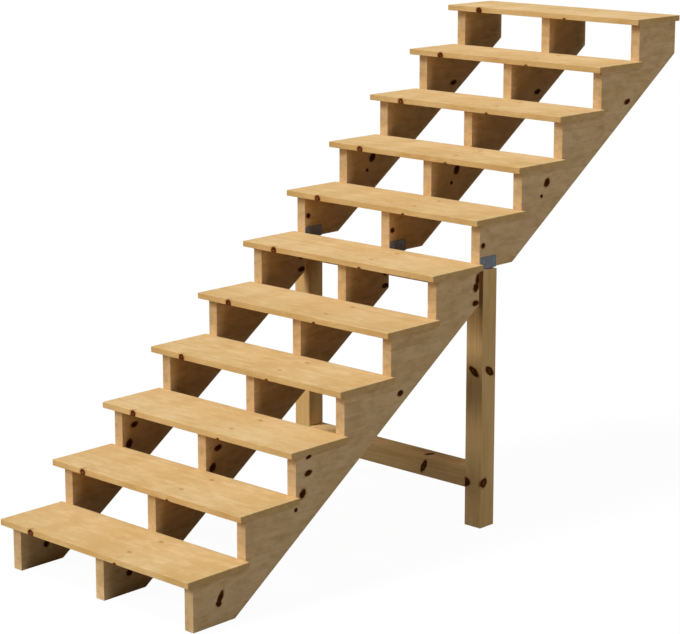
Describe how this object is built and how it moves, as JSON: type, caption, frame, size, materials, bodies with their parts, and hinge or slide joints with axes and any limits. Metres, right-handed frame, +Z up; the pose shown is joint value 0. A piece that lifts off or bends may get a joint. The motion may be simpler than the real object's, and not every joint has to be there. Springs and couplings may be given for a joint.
{
  "type": "outdoor wooden staircase",
  "caption": "Straight outdoor timber staircase with open risers: plain board treads on sawn stringers, in two flights, the upper one standing on a post frame.",
  "frame": {"origin": "on the ground, on the first riser line, midway between the outer stringers: the front bottom edge of the middle stringer's foot", "axes": "+Z up, +Y the way a person climbs, +X to the climber's right along the treads"},
  "size_m": [1.018, 2.769, 1.9065],
  "materials": {
    "tread_board": "planed knotty pine",
    "stringer_timber": "planed knotty pine",
    "frame_timber": "planed knotty pine",
    "bracket_steel": "dull galvanised steel"
  },
  "bodies": {
    "root": {"tread_01": "tread_board", "tread_02": "tread_board", "tread_03": "tread_board", "tread_04": "tread_board", "tread_05": "tread_board", "tread_06": "tread_board", "tread_07": "tread_board", "tread_08": "tread_board", "tread_09": "tread_board", "tread_10": "tread_board", "tread_11": "tread_board", "lower_stringer_left": "stringer_timber", "lower_stringer_middle": "stringer_timber", "lower_stringer_right": "stringer_timber", "upper_stringer_left": "stringer_timber", "upper_stringer_middle": "stringer_timber", "upper_stringer_right": "stringer_timber", "bracket_left": "bracket_steel", "bracket_middle": "bracket_steel", "bracket_right": "bracket_steel", "post_left": "frame_timber", "post_right": "frame_timber", "header_board": "frame_timber", "top_beam": "frame_timber", "cross_rail": "frame_timber"}
  },
  "joints": []
}
